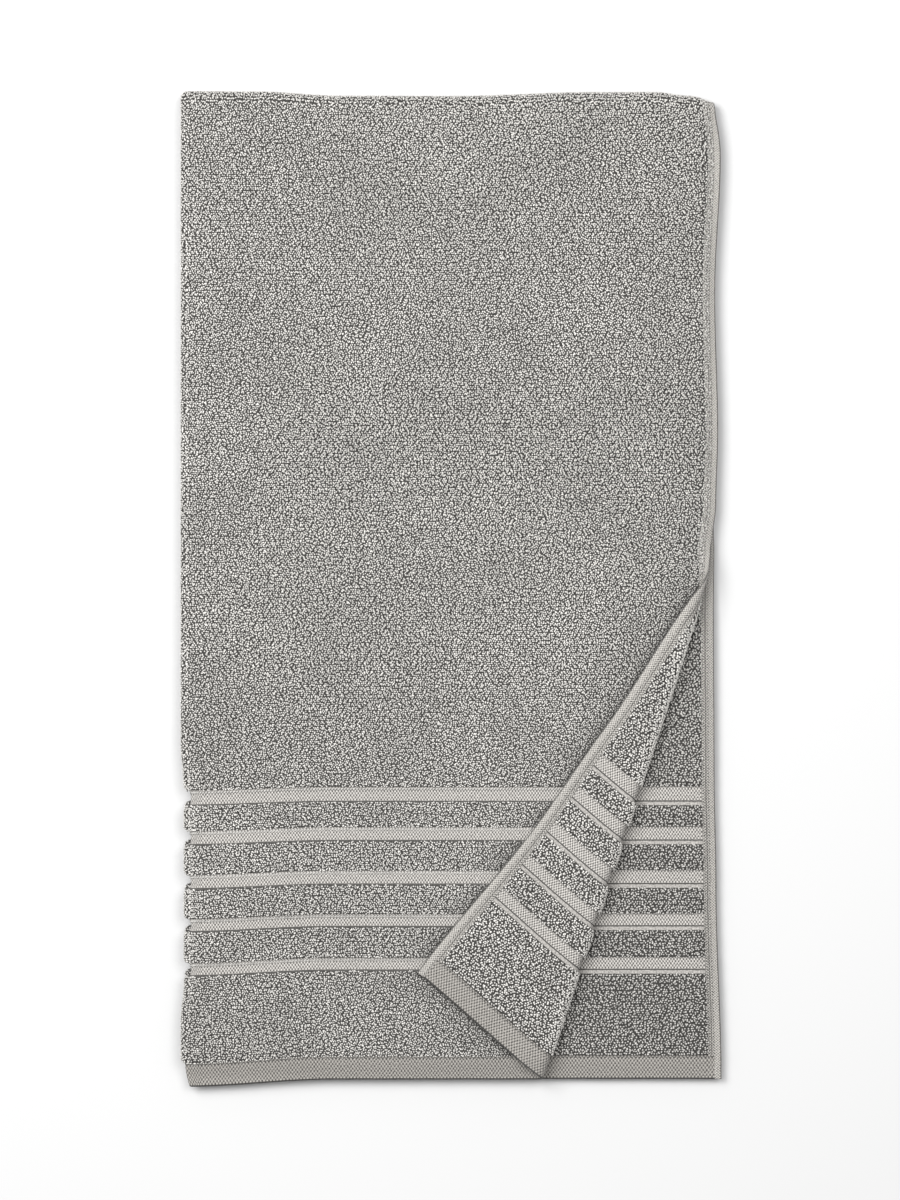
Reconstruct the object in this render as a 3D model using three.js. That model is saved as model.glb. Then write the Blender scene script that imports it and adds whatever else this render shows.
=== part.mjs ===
// Bath towel folded in four, with one corner turned back
// One length of terry cloth is folded in half along its length, then in half across it.
// The top layer's free corner is rolled over, so its reverse side and the layer below it show.
// Units are millimetres. +Z is up and the towel lies on Z = 0.
// +X points to the hemmed side edges and +Y to the fold across the towel.

import * as THREE from 'three';

// Flat size of the cloth before it is folded
const TOWEL_WIDTH = 762;
const TOWEL_LENGTH = 1410;

// Thickness of the cloth with pile on both sides, of the flat bands and of the hems
const PILE_THICKNESS = 4.0;
const BAND_THICKNESS = 1.4;
const HEM_THICKNESS = 2.0;

// Width of the hems, and the length over which the pile rises beside a flat stretch
const SIDE_HEM = 10;
const END_HEM = 17.5;
const PILE_STEP = 1.2;

// Height from one layer to the next, and the share of it that is left where hems lie on hems
const LAYER_PITCH = 4.8;
const HEM_PITCH_SHARE = 0.7;
const HEM_REST_HEIGHT = 1.1;
const EDGE_SAG_WIDTH = 14;

// Radius of the two folds, measured to the middle of the cloth or of the double layer
const SIDE_FOLD_RADIUS = LAYER_PITCH / 2;
const CROSS_FOLD_RADIUS = LAYER_PITCH;

// Turned corner: where the side edge starts to turn, the fold's angle to it and the roll's radius
const TURN_START = 303.8;
const TURN_ANGLE = THREE.MathUtils.degToRad(18.3);
const ROLL_RADIUS_AT_SIDE = 4.5;
const ROLL_RADIUS = 5.3;
const ROLL_GROWTH = 140;
const SETTLE_LENGTH = 40;
const TURNED_LAYER_GAP = 4.9;
const TURNED_HEM_DROOP = 1.1;
const CORNER_DRAW_IN = 8.7;
const CORNER_DRAW_LENGTH = 146;

// Flat bands woven near each end, by their distance from the end of the towel
const BANDS = [
  { from: 78.6, to: 87.4 },
  { from: 109.7, to: 118.5 },
  { from: 139.9, to: 149.5 },
  { from: 171.0, to: 180.5 },
  { from: 198.9, to: 209.2 },
];

// How far the side edges of the two upper layers stray outward, by distance below the cross fold
const SIDE_EDGES = [
  { below: 0, top: 0.0, second: -2.0 },
  { below: 35, top: 2.0, second: -2.5 },
  { below: 135, top: 0.2, second: -3.0 },
  { below: 235, top: 2.4, second: -2.6 },
  { below: 285, top: 1.0, second: -1.2 },
  { below: 320, top: -3.0, second: -0.2 },
  { below: 365, top: -0.6, second: -0.6 },
  { below: 475, top: -5.3, second: 0.0 },
  { below: 560, top: -7.5, second: 1.4 },
  { below: 697, top: -2.0, second: 6.8 },
];

// How far the cross fold dips below a straight line, by distance from the side fold
const CROSS_FOLD_DIPS = [
  { across: 0, dip: 0.0 },
  { across: 50, dip: 0.2 },
  { across: 110, dip: 3.6 },
  { across: 190, dip: 3.8 },
  { across: 290, dip: 0.6 },
  { across: 335, dip: 0.6 },
  { across: 358, dip: 3.2 },
  { across: 377, dip: 6.4 },
];

// Droop of the ends beside the side fold, and how the fold narrows at the flat stretches
const END_DROOP = 6.5;
const END_DROOP_WIDTH = 105;
const LOWER_END_DROOP = 2.0;
const LOWER_EDGE_INSET = 3.0;
const FOLD_NOTCH = 0.8;
const HEM_NOTCH = 4.0;
const NOTCH_REACH = 7;

// Gentle swell of the top layer
const SWELL_HEIGHT = 0.35;
const SWELL_SPACING = 170;

// Grid on the cloth: segments round each fold, and lines across and down the flat stretches
const FOLD_SEGMENTS = 6;
const INNER_HALF_LINES = [350, 250, 150, 60];
const OUTER_HALF_LINES = [30, 70, 120, 180];
const ROLL_LINES = [-30, -10, 0, 3.4, 6.8, 10.2, 13.6, 17, 22, 45, 72];
const ROLL_LINE_SPACING = 4;
const UPPER_FIELD_ROWS = [
  40, 130, 215, 268, 292, 304, 316, 328, 340, 352, 364, 376, 388, 400, 424, 450,
];
const LOWER_FIELD_ROWS = [100, 220, 340, 440];

const HALF_WIDTH = TOWEL_WIDTH / 2;
const HALF_LENGTH = TOWEL_LENGTH / 2;
const SIDE_FOLD_ARC = Math.PI * SIDE_FOLD_RADIUS / 2;
const CROSS_FOLD_ARC = Math.PI * CROSS_FOLD_RADIUS / 2;
const FOLDED_WIDTH = HALF_WIDTH - SIDE_FOLD_ARC;
const FOLDED_LENGTH = HALF_LENGTH - CROSS_FOLD_ARC;
const STACK_HALF = SIDE_FOLD_RADIUS + CROSS_FOLD_RADIUS;

function ease(value) {
  const x = Math.min(Math.max(value, 0), 1);
  return x * x * (3 - 2 * x);
}

// A smooth curve through the rows of a table
function readTable(rows, key, column, value) {
  const last = rows.length - 1;
  if (value <= rows[0][key]) return rows[0][column];
  if (value >= rows[last][key]) return rows[last][column];
  const i = rows.findIndex((row) => row[key] > value);
  const part = (value - rows[i - 1][key]) / (rows[i][key] - rows[i - 1][key]);
  return THREE.MathUtils.lerp(rows[i - 1][column], rows[i][column], ease(part));
}

function isFlatBand(fromEnd) {
  return BANDS.some((band) => fromEnd > band.from && fromEnd < band.to);
}

function clothThickness(across, down) {
  const fromSide = HALF_WIDTH - Math.abs(across);
  const fromEnd = HALF_LENGTH - Math.abs(down);
  if (fromSide < SIDE_HEM || fromEnd < END_HEM) return HEM_THICKNESS;
  return isFlatBand(fromEnd) ? BAND_THICKNESS : PILE_THICKNESS;
}

// Height of a layer's middle, where level runs from 0 for the lowest layer to 1 for the top one
function layerHeight(level, u, v) {
  const sideHem = ease((u - FOLDED_WIDTH + SIDE_HEM) / SIDE_HEM);
  const endHem = ease((v - FOLDED_LENGTH + END_HEM) / END_HEM);
  const onHem = Math.max(sideHem, endHem);
  const nearSide = ease((u - FOLDED_WIDTH + SIDE_HEM + EDGE_SAG_WIDTH) / (SIDE_HEM + EDGE_SAG_WIDTH));
  const nearEnd = ease((v - FOLDED_LENGTH + END_HEM + EDGE_SAG_WIDTH) / (END_HEM + EDGE_SAG_WIDTH));
  const sag = Math.max(nearSide, nearEnd);
  const rest = THREE.MathUtils.lerp(PILE_THICKNESS / 2, HEM_REST_HEIGHT, onHem);
  const pitchShare = 1 - (1 - HEM_PITCH_SHARE) * sag * (0.3 + 0.7 * onHem);
  const swell = Math.sin(u / SWELL_SPACING * Math.PI) * Math.sin(v / SWELL_SPACING * Math.PI + 1);
  return rest + level * (2 * STACK_HALF * pitchShare + SWELL_HEIGHT * swell * level);
}

// Fold along the length: the place in the double layer, and the offset from its middle
function foldAlong(across) {
  if (Math.abs(across) < SIDE_FOLD_ARC) {
    const angle = across / SIDE_FOLD_RADIUS;
    return { u: -SIDE_FOLD_RADIUS * Math.cos(angle), offset: SIDE_FOLD_RADIUS * Math.sin(angle) };
  }
  return { u: Math.abs(across) - SIDE_FOLD_ARC, offset: Math.sign(across) * SIDE_FOLD_RADIUS };
}

// Fold across: the distance below the fold, and the level in the stack of four layers
function foldAcross(down, offset) {
  const radius = CROSS_FOLD_RADIUS + offset;
  if (Math.abs(down) < CROSS_FOLD_ARC) {
    const angle = down / CROSS_FOLD_RADIUS;
    return { v: -radius * Math.cos(angle), level: 0.5 + radius * Math.sin(angle) / (2 * STACK_HALF) };
  }
  const side = Math.sign(down);
  return { v: Math.abs(down) - CROSS_FOLD_ARC, level: 0.5 + side * radius / (2 * STACK_HALF) };
}

// The outline of each layer strays a little from a straight rectangle
function strayEdges(u, v, across, down) {
  const isTop = ease((across + 2 * SIDE_FOLD_ARC) / (4 * SIDE_FOLD_ARC));
  const isUpper = ease((down + 30) / 60);
  const below = Math.max(v, 0);
  const top = readTable(SIDE_EDGES, 'below', 'top', below);
  const second = readTable(SIDE_EDGES, 'below', 'second', below);
  const upperShift = THREE.MathUtils.lerp(second, top, isTop);
  const sideShift = THREE.MathUtils.lerp(-LOWER_EDGE_INSET, upperShift, isUpper);
  const reach = Math.max(u, 0) / FOLDED_WIDTH;
  const foldDip = readTable(CROSS_FOLD_DIPS, 'across', 'dip', u) * Math.exp(-below / 45);
  const droop = THREE.MathUtils.lerp(LOWER_END_DROOP, END_DROOP, isUpper);
  const endDroop = droop * (below / FOLDED_LENGTH) ** 2 * (1 - ease(u / END_DROOP_WIDTH));
  const inset = (1 - isUpper) * LOWER_END_DROOP * (below / FOLDED_LENGTH) ** 2;
  return { u: u + sideShift * reach ** 3, v: v + foldDip + endDroop - inset };
}

// The free corner of the top layer rolls over a slanted line and settles on the layer's own face
function turnCorner(u, v) {
  const cos = Math.cos(TURN_ANGLE);
  const sin = Math.sin(TURN_ANGLE);
  const beyond = (u - FOLDED_WIDTH) * cos + (v - TURN_START) * sin;
  if (beyond <= 0) return { u, v, height: layerHeight(1, u, v) };
  const drawn = v - CORNER_DRAW_IN * ease(beyond / CORNER_DRAW_LENGTH);
  const b = (u - FOLDED_WIDTH) * cos + (drawn - TURN_START) * sin;
  const a = (drawn - TURN_START) * cos - (u - FOLDED_WIDTH) * sin;
  const foldHeight = layerHeight(1, FOLDED_WIDTH - a * sin, TURN_START + a * cos);
  const radius = THREE.MathUtils.lerp(ROLL_RADIUS_AT_SIDE, ROLL_RADIUS, ease(a / ROLL_GROWTH));
  const roll = Math.min(b / radius, Math.PI);
  const past = Math.max(b - Math.PI * radius, 0);
  const n = radius * Math.sin(roll) - past;
  const turned = { u: FOLDED_WIDTH - a * sin + n * cos, v: TURN_START + a * cos + n * sin };
  const rolledHeight = foldHeight + radius * (1 - Math.cos(roll));
  const sideHem = ease((u - FOLDED_WIDTH + SIDE_HEM) / SIDE_HEM);
  const endHem = ease((v - FOLDED_LENGTH + END_HEM) / END_HEM);
  const droop = TURNED_HEM_DROOP * Math.max(sideHem, endHem);
  const settledHeight = layerHeight(1, turned.u, turned.v) + TURNED_LAYER_GAP - droop;
  turned.height = THREE.MathUtils.lerp(rolledHeight, settledHeight, ease(past / SETTLE_LENGTH));
  return turned;
}

// Middle of the cloth at a point of the flat towel, given from its centre
function placeCloth(across, down) {
  const half = foldAlong(across);
  const quarter = foldAcross(down, half.offset);
  const edge = strayEdges(half.u, quarter.v, across, down);
  if (across > 0 && down > CROSS_FOLD_ARC) {
    const place = turnCorner(edge.u, edge.v);
    return new THREE.Vector3(place.u, -place.v, place.height);
  }
  return new THREE.Vector3(edge.u, -edge.v, layerHeight(quarter.level, edge.u, edge.v));
}

// Unit vector square to the cloth, towards the side that faces up on the top layer
function clothNormal(across, down) {
  const step = 0.05;
  const alongAcross = placeCloth(across + step, down).sub(placeCloth(across - step, down));
  const alongDown = placeCloth(across, down + step).sub(placeCloth(across, down - step));
  return alongDown.cross(alongAcross).normalize();
}

// The side fold draws in where the cloth is flat, and most at the end of the towel
function foldNotch(across, down) {
  const fromEnd = HALF_LENGTH - Math.abs(down);
  const fromFold = Math.abs(across) / NOTCH_REACH;
  let depth = isFlatBand(fromEnd) ? FOLD_NOTCH : 0;
  if (fromEnd < END_HEM) depth = THREE.MathUtils.lerp(HEM_NOTCH, FOLD_NOTCH, fromEnd / END_HEM);
  return depth * Math.exp(-fromFold * fromFold);
}

// Grid lines down the towel, from the hidden end over the cross fold to the end that shows
function gridRows() {
  const steps = [END_HEM, ...BANDS.flatMap((band) => [band.from, band.to])];
  const pairs = steps.flatMap((edge) => [edge - PILE_STEP / 2, edge + PILE_STEP / 2]);
  const fromEnds = [0, ...pairs.slice(0, 2), END_HEM + EDGE_SAG_WIDTH, ...pairs.slice(2)];
  const fromFold = fromEnds.map((fromEnd) => HALF_LENGTH - fromEnd).reverse();
  const bend = [];
  for (let i = 0; i <= FOLD_SEGMENTS; i += 1) {
    bend.push(CROSS_FOLD_ARC * (2 * i / FOLD_SEGMENTS - 1));
  }
  const lower = [...LOWER_FIELD_ROWS.map((row) => row + CROSS_FOLD_ARC), ...fromFold];
  const upper = [...UPPER_FIELD_ROWS.map((row) => row + CROSS_FOLD_ARC), ...fromFold];
  return [...lower.map((row) => -row).reverse(), ...bend, ...upper];
}

// Grid lines across the towel for one row; those beside the turned corner follow its slanted fold
function gridLines(down) {
  const hemLines = [SIDE_HEM + PILE_STEP / 2, SIDE_HEM - PILE_STEP / 2, 0];
  const hemEdge = FOLDED_WIDTH - hemLines[0];
  const below = Math.max(down - CROSS_FOLD_ARC, 0);
  const foldAt = FOLDED_WIDTH - (below - TURN_START) * Math.tan(TURN_ANGLE);
  const rollLines = ROLL_LINES.map((beyond, i) => {
    const highest = hemEdge - (ROLL_LINES.length - i) * ROLL_LINE_SPACING;
    return Math.min(foldAt + beyond / Math.cos(TURN_ANGLE), highest);
  });
  const bend = [];
  for (let i = 0; i <= FOLD_SEGMENTS; i += 1) {
    bend.push(SIDE_FOLD_ARC * (2 * i / FOLD_SEGMENTS - 1));
  }
  const inner = [...hemLines.map((line) => FOLDED_WIDTH - line).reverse(), ...INNER_HALF_LINES];
  const outer = [...OUTER_HALF_LINES, ...rollLines, ...hemLines.map((line) => FOLDED_WIDTH - line)];
  return [
    ...inner.map((line) => -(line + SIDE_FOLD_ARC)),
    ...bend,
    ...outer.map((line) => line + SIDE_FOLD_ARC),
  ];
}

// Both faces of the cloth on one grid, joined by a rim along its four edges
function buildCloth() {
  const rows = gridRows();
  const points = [];
  let lineCount = 0;
  for (const down of rows) {
    const lines = gridLines(down);
    lineCount = lines.length;
    for (const across of lines) {
      const middle = placeCloth(across, down);
      const half = clothNormal(across, down).multiplyScalar(clothThickness(across, down) / 2);
      middle.x += foldNotch(across, down);
      points.push(middle.clone().add(half), middle.clone().sub(half));
    }
  }
  const face = (row, line) => 2 * (row * lineCount + line);
  const back = (row, line) => face(row, line) + 1;
  const triangles = [];
  const quad = (a, b, c, d) => triangles.push(a, b, c, a, c, d);
  const lastRow = rows.length - 1;
  const lastLine = lineCount - 1;
  for (let row = 0; row < lastRow; row += 1) {
    for (let line = 0; line < lastLine; line += 1) {
      quad(face(row + 1, line), face(row + 1, line + 1), face(row, line + 1), face(row, line));
      quad(back(row, line + 1), back(row + 1, line + 1), back(row + 1, line), back(row, line));
    }
    quad(face(row + 1, 0), face(row, 0), back(row, 0), back(row + 1, 0));
    quad(face(row, lastLine), face(row + 1, lastLine), back(row + 1, lastLine), back(row, lastLine));
  }
  for (let line = 0; line < lastLine; line += 1) {
    quad(face(0, line), face(0, line + 1), back(0, line + 1), back(0, line));
    quad(face(lastRow, line + 1), face(lastRow, line), back(lastRow, line), back(lastRow, line + 1));
  }
  const geometry = new THREE.BufferGeometry().setFromPoints(points);
  geometry.setIndex(triangles);
  return geometry;
}

// The origin is under the middle of the folded towel, on the surface that it lies on
function centreOnSurface(geometry) {
  geometry.computeBoundingBox();
  const box = geometry.boundingBox;
  const middle = box.getCenter(new THREE.Vector3());
  geometry.translate(-middle.x, -middle.y, -box.min.z);
  geometry.computeVertexNormals();
  return geometry;
}

const terry = new THREE.MeshStandardMaterial({ color: 0xa2a19d, roughness: 0.95, metalness: 0 });
const cloth = new THREE.Mesh(centreOnSurface(buildCloth()), terry);
cloth.name = 'towel_cloth';

const group = new THREE.Group();
group.add(cloth);

export default group;
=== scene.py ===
import math

import bpy
import numpy as np
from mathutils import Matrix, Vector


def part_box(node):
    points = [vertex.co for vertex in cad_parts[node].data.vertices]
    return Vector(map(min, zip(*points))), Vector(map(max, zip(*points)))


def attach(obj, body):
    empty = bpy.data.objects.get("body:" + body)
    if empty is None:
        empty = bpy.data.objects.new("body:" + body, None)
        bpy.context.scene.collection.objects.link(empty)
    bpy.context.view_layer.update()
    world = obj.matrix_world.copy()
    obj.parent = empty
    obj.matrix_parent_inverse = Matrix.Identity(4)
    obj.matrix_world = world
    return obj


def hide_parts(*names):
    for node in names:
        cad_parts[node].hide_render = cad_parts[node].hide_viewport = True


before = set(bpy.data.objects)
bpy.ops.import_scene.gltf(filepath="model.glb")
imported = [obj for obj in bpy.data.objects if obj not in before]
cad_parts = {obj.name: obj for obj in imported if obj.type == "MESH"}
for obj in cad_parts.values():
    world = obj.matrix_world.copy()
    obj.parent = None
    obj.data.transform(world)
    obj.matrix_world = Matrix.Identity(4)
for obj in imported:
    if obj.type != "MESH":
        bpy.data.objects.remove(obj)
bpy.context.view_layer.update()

solid_low, solid_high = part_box("towel_cloth")


# The woven cloth
# One length of warm grey cotton towelling, woven in one piece and cut to 76 by 141 cm. It has a
# pile ground, five flat bands near each end and turned hems all round. It lies folded in half
# along its length and again across it, with the top layer's free corner rolled back.

TOWEL_WIDTH = 0.762
TOWEL_LENGTH = 1.410
SIDE_HEM = 0.010
END_HEM = 0.0175
PILE_THICKNESS = 0.0040
LAYER_PITCH = 0.0048
HEM_PITCH_SHARE = 0.7
HEM_REST_HEIGHT = 0.0011
EDGE_SAG_WIDTH = 0.014
SIDE_FOLD_RADIUS = LAYER_PITCH / 2
CROSS_FOLD_RADIUS = LAYER_PITCH
SWELL_HEIGHT = 0.00035
SWELL_SPACING = 0.170

# The corner that is rolled back
TURN_START = 0.3038
TURN_ANGLE = math.radians(18.3)
ROLL_RADIUS_AT_SIDE = 0.0045
ROLL_RADIUS = 0.0053
ROLL_GROWTH = 0.140
SETTLE_LENGTH = 0.040
TURNED_LAYER_GAP = 0.0060
TURNED_HEM_DROOP = 0.0006
CORNER_DRAW_IN = 0.0087
CORNER_DRAW_LENGTH = 0.146

# The outline, which strays from a straight rectangle
END_DROOP = 0.0052
END_DROOP_WIDTH = 0.105
LOWER_END_DROOP = 0.0020
LOWER_EDGE_INSET = 0.0030
EDGE_BELOW = [0, 0.035, 0.135, 0.235, 0.285, 0.320, 0.365, 0.475, 0.560, 0.697]
TOP_EDGE = [0.0020, 0.0042, 0.0002, 0.0024, 0.0010, -0.0030, -0.0006, -0.0053, -0.0075, -0.0020]
SECOND_EDGE = [-0.0020, -0.0025, -0.0030, -0.0026, -0.0012, -0.0002, -0.0006, 0, 0.0014, 0.0050]
DIP_ACROSS = [0, 0.050, 0.110, 0.190, 0.290, 0.335, 0.358, 0.377]
DIP_DEPTH = [0, 0.0002, 0.0032, 0.0034, 0.0006, 0.0006, 0.0032, 0.0064]
DIP_REACH = 0.045
UPPER_BLEND = 0.060

# Flat bands, by their distance from the end of the towel
BANDS = [(0.0786, 0.0874), (0.1097, 0.1185), (0.1399, 0.1495), (0.1710, 0.1805), (0.1989, 0.2092)]

HALF_WIDTH = TOWEL_WIDTH / 2
HALF_LENGTH = TOWEL_LENGTH / 2
SIDE_ARC = math.pi * SIDE_FOLD_RADIUS / 2
CROSS_ARC = math.pi * CROSS_FOLD_RADIUS / 2
FOLDED_WIDTH = HALF_WIDTH - SIDE_ARC
FOLDED_LENGTH = HALF_LENGTH - CROSS_ARC
STACK_HALF = SIDE_FOLD_RADIUS + CROSS_FOLD_RADIUS
SIDE_FOLD_X = solid_low[0] + SIDE_FOLD_RADIUS + PILE_THICKNESS / 2
CROSS_FOLD_Y = solid_high[1] - STACK_HALF - PILE_THICKNESS / 2


def ease(value):
    x = np.clip(value, 0, 1)
    return x * x * (3 - 2 * x)


def read_table(at, places, depths):
    """A smooth curve through a short table."""
    places, depths = np.array(places), np.array(depths)
    i = np.clip(np.searchsorted(places, at, side="right") - 1, 0, len(places) - 2)
    part = (at - places[i]) / (places[i + 1] - places[i])
    return depths[i] + (depths[i + 1] - depths[i]) * ease(part)


def hem_share(u, v, widening=0.0):
    """0 on the pile and 1 at the cloth's edge, rising over the width of the hems."""
    side = (u - FOLDED_WIDTH + SIDE_HEM + widening) / (SIDE_HEM + widening)
    end = (v - FOLDED_LENGTH + END_HEM + widening) / (END_HEM + widening)
    return np.maximum(ease(side), ease(end))


def layer_height(level, u, v):
    """Height of a layer's middle: level is 0 for the lowest layer and 1 for the top one."""
    on_hem = hem_share(u, v)
    sag = hem_share(u, v, EDGE_SAG_WIDTH)
    rest = PILE_THICKNESS / 2 + (HEM_REST_HEIGHT - PILE_THICKNESS / 2) * on_hem
    share = 1 - (1 - HEM_PITCH_SHARE) * sag * (0.3 + 0.7 * on_hem)
    swell = np.sin(u / SWELL_SPACING * math.pi) * np.sin(v / SWELL_SPACING * math.pi + 1)
    return rest + level * (2 * STACK_HALF * share + SWELL_HEIGHT * swell * level)


def fold_along(across):
    """Fold along the length: the place in the double layer, and the offset from its middle."""
    angle = np.clip(across / SIDE_FOLD_RADIUS, -math.pi / 2, math.pi / 2)
    straight = np.maximum(np.abs(across) - SIDE_ARC, 0)
    return straight - SIDE_FOLD_RADIUS * np.cos(angle), SIDE_FOLD_RADIUS * np.sin(angle)


def fold_across(down, offset):
    """Fold across: the distance below the fold, and the level in the stack of four layers."""
    radius = CROSS_FOLD_RADIUS + offset
    angle = np.clip(down / CROSS_FOLD_RADIUS, -math.pi / 2, math.pi / 2)
    straight = np.maximum(np.abs(down) - CROSS_ARC, 0)
    return straight - radius * np.cos(angle), 0.5 + radius * np.sin(angle) / (2 * STACK_HALF)


def stray_edges(u, v, across, down):
    """The outline of each layer strays a little from a straight rectangle."""
    is_top = ease((across + 2 * SIDE_ARC) / (4 * SIDE_ARC))
    is_upper = ease((down + UPPER_BLEND / 2) / UPPER_BLEND)
    below = np.maximum(v, 0)
    top = read_table(below, EDGE_BELOW, TOP_EDGE)
    second = read_table(below, EDGE_BELOW, SECOND_EDGE)
    side = -LOWER_EDGE_INSET + (second + (top - second) * is_top + LOWER_EDGE_INSET) * is_upper
    dip = read_table(u, DIP_ACROSS, DIP_DEPTH) * np.exp(-below / DIP_REACH)
    toward_end = (below / FOLDED_LENGTH) ** 2
    droop = LOWER_END_DROOP + (END_DROOP - LOWER_END_DROOP) * is_upper
    droop = droop * toward_end * (1 - ease(u / END_DROOP_WIDTH))
    inset = (1 - is_upper) * LOWER_END_DROOP * toward_end
    return u + side * (np.maximum(u, 0) / FOLDED_WIDTH) ** 3, v + dip + droop - inset


def beyond_turn(u, v):
    """Distance past the slanted line where the corner starts to roll over."""
    return (u - FOLDED_WIDTH) * math.cos(TURN_ANGLE) + (v - TURN_START) * math.sin(TURN_ANGLE)


def roll_radius(along):
    return ROLL_RADIUS_AT_SIDE + (ROLL_RADIUS - ROLL_RADIUS_AT_SIDE) * ease(along / ROLL_GROWTH)


def turn_corner(u, v):
    """The free corner rolls over a slanted line and settles on the layer's own face."""
    cos, sin = math.cos(TURN_ANGLE), math.sin(TURN_ANGLE)
    drawn = v - CORNER_DRAW_IN * ease(beyond_turn(u, v) / CORNER_DRAW_LENGTH)
    past_line = np.maximum(beyond_turn(u, drawn), 0)
    along = (drawn - TURN_START) * cos - (u - FOLDED_WIDTH) * sin
    line_u, line_v = FOLDED_WIDTH - along * sin, TURN_START + along * cos
    radius = roll_radius(along)
    roll = np.minimum(past_line / radius, math.pi)
    past_roll = np.maximum(past_line - math.pi * radius, 0)
    reach = radius * np.sin(roll) - past_roll
    turned_u, turned_v = line_u + reach * cos, line_v + reach * sin
    rolled = layer_height(1, line_u, line_v) + radius * (1 - np.cos(roll))
    lifted = layer_height(1, turned_u, turned_v) + TURNED_LAYER_GAP
    settled = lifted - TURNED_HEM_DROOP * hem_share(u, v)
    return turned_u, turned_v, rolled + (settled - rolled) * ease(past_roll / SETTLE_LENGTH)


def place_cloth(across, down):
    """Middle of the folded cloth, for points of the flat towel given from its centre."""
    u, offset = fold_along(across)
    v, level = fold_across(down, offset)
    u, v = stray_edges(u, v, across, down)
    height = layer_height(level, u, v)
    turned_u, turned_v, turned_height = turn_corner(u, v)
    turns = (across > 0) & (down > CROSS_ARC) & (beyond_turn(u, v) > 0)
    u, v = np.where(turns, turned_u, u), np.where(turns, turned_v, v)
    height = np.where(turns, turned_height, height)
    return np.stack([SIDE_FOLD_X + u, CROSS_FOLD_Y - v, height], axis=-1)


def in_bands(from_end, below=0.0, above=0.0):
    """True on the flat bands, made wider by margins towards the end of the towel and away from it."""
    inside = [(from_end > near - below) & (from_end < far + above) for near, far in BANDS]
    return np.any(inside, axis=0)


# The pile ground is thinner than the finished towel, as the loops stand on it
GROUND_THICKNESS = 0.0030
BAND_THICKNESS = 0.0014
HEM_THICKNESS = 0.0019
HEM_ROUNDING = 0.0009
HEM_EDGE_SHARE = 0.15
RIB_SWELL = 0.0006
BACK_RIB_SWELL = 0.0014
BACK_STRIP = 0.0024
FOLD_NOTCH = 0.0036
HEM_NOTCH = 0.0020
HEM_TAPER = 0.0030
BANDED_INSET = 0.0024
NOTCH_REACH = 0.007
HEM_NOTCH_START, HEM_NOTCH_FADE = 0.001, 0.004
BAND_NOTCH_START, BAND_NOTCH_FADE = 0.002, 0.005
BANDED_START, BANDED_START_FADE = 0.045, 0.030
BANDED_STOP, BANDED_STOP_FADE = 0.205, 0.040
HEM_PUCKER = 0.00025
HEM_PUCKER_SPACING = 0.0165
END_PUCKER_TURN = 5.1
END_PUCKER_DRIFT = [(2.1, 41), (1.3, 97)]

# A faint crease across the middle of the top layer: from the side fold, below the cross fold
CREASE_ACROSS = [0.020, 0.060, 0.110, 0.165, 0.215]
CREASE_DEPTH = [0, 0.0006, 0.0008, 0.0005, 0]
CREASE_DOWN = 0.3535
CREASE_WIDTH = 0.006
CREASE_WANDER = 0.004
CREASE_WANDER_RATE = 31


def half_thickness(across, down, face):
    """From the cloth's middle to its face (1) or its back (-1), where the ribs swell more."""
    from_side = HALF_WIDTH - np.abs(across)
    from_end = HALF_LENGTH - np.abs(down)
    half = np.full(np.shape(across), GROUND_THICKNESS / 2)
    swell, strip = (RIB_SWELL, 0) if face > 0 else (BACK_RIB_SWELL, BACK_STRIP)
    for (_, start), (end, _) in zip(BANDS[:-1], BANDS[1:]):
        part = np.clip((from_end - start) / (end - strip - start), 0, 1)
        half = half + swell / 2 * np.sin(math.pi * part)
    half = np.where(in_bands(from_end, strip), BAND_THICKNESS / 2, half)
    on_hem = (from_side < SIDE_HEM) | (from_end < END_HEM)
    rounded = np.sqrt(np.clip(np.minimum(from_side, from_end) / HEM_ROUNDING, HEM_EDGE_SHARE, 1))
    return np.where(on_hem, HEM_THICKNESS / 2 * rounded, half)


def fold_notch(across, down):
    """The side fold draws in where the cloth is flat, and most at the end of the towel."""
    from_end = HALF_LENGTH - np.abs(down)
    taper = 1 - np.clip(from_end / END_HEM, 0, 1)
    depth = HEM_NOTCH + HEM_TAPER * taper**2
    depth = depth * (1 - ease((from_end - END_HEM + HEM_NOTCH_START) / HEM_NOTCH_FADE))
    for near, far in BANDS:
        off = np.abs(from_end - (near + far) / 2) - (far - near) / 2
        depth = depth + FOLD_NOTCH * (1 - ease((off + BAND_NOTCH_START) / BAND_NOTCH_FADE))
    banded = ease((from_end - BANDED_START) / BANDED_START_FADE)
    banded = banded * (1 - ease((from_end - BANDED_STOP) / BANDED_STOP_FADE))
    return (depth + BANDED_INSET * banded) * np.exp(-((across / NOTCH_REACH) ** 2))


def ripple(across, down):
    """The stitched hems ripple along their length, and the top layer keeps a faint crease."""
    from_side = HALF_WIDTH - np.abs(across)
    from_end = HALF_LENGTH - np.abs(down)
    at_side = (1 - ease(from_side / SIDE_HEM)) * np.sin(down / HEM_PUCKER_SPACING * 2 * math.pi)
    drift = sum(size * np.sin(across * rate) for size, rate in END_PUCKER_DRIFT)
    waves = np.sin(across / HEM_PUCKER_SPACING * END_PUCKER_TURN + drift)
    at_end = (1 - ease(from_end / END_HEM)) * waves
    wander = CREASE_WANDER * np.sin(across * CREASE_WANDER_RATE)
    crease = read_table(across, CREASE_ACROSS, CREASE_DEPTH) * (down > 0)
    crease = crease * np.exp(-(((down - CREASE_DOWN - wander) / CREASE_WIDTH) ** 2))
    return HEM_PUCKER * (at_side + at_end) - crease


def unit(vectors):
    return vectors / np.linalg.norm(vectors, axis=-1, keepdims=True)


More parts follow.
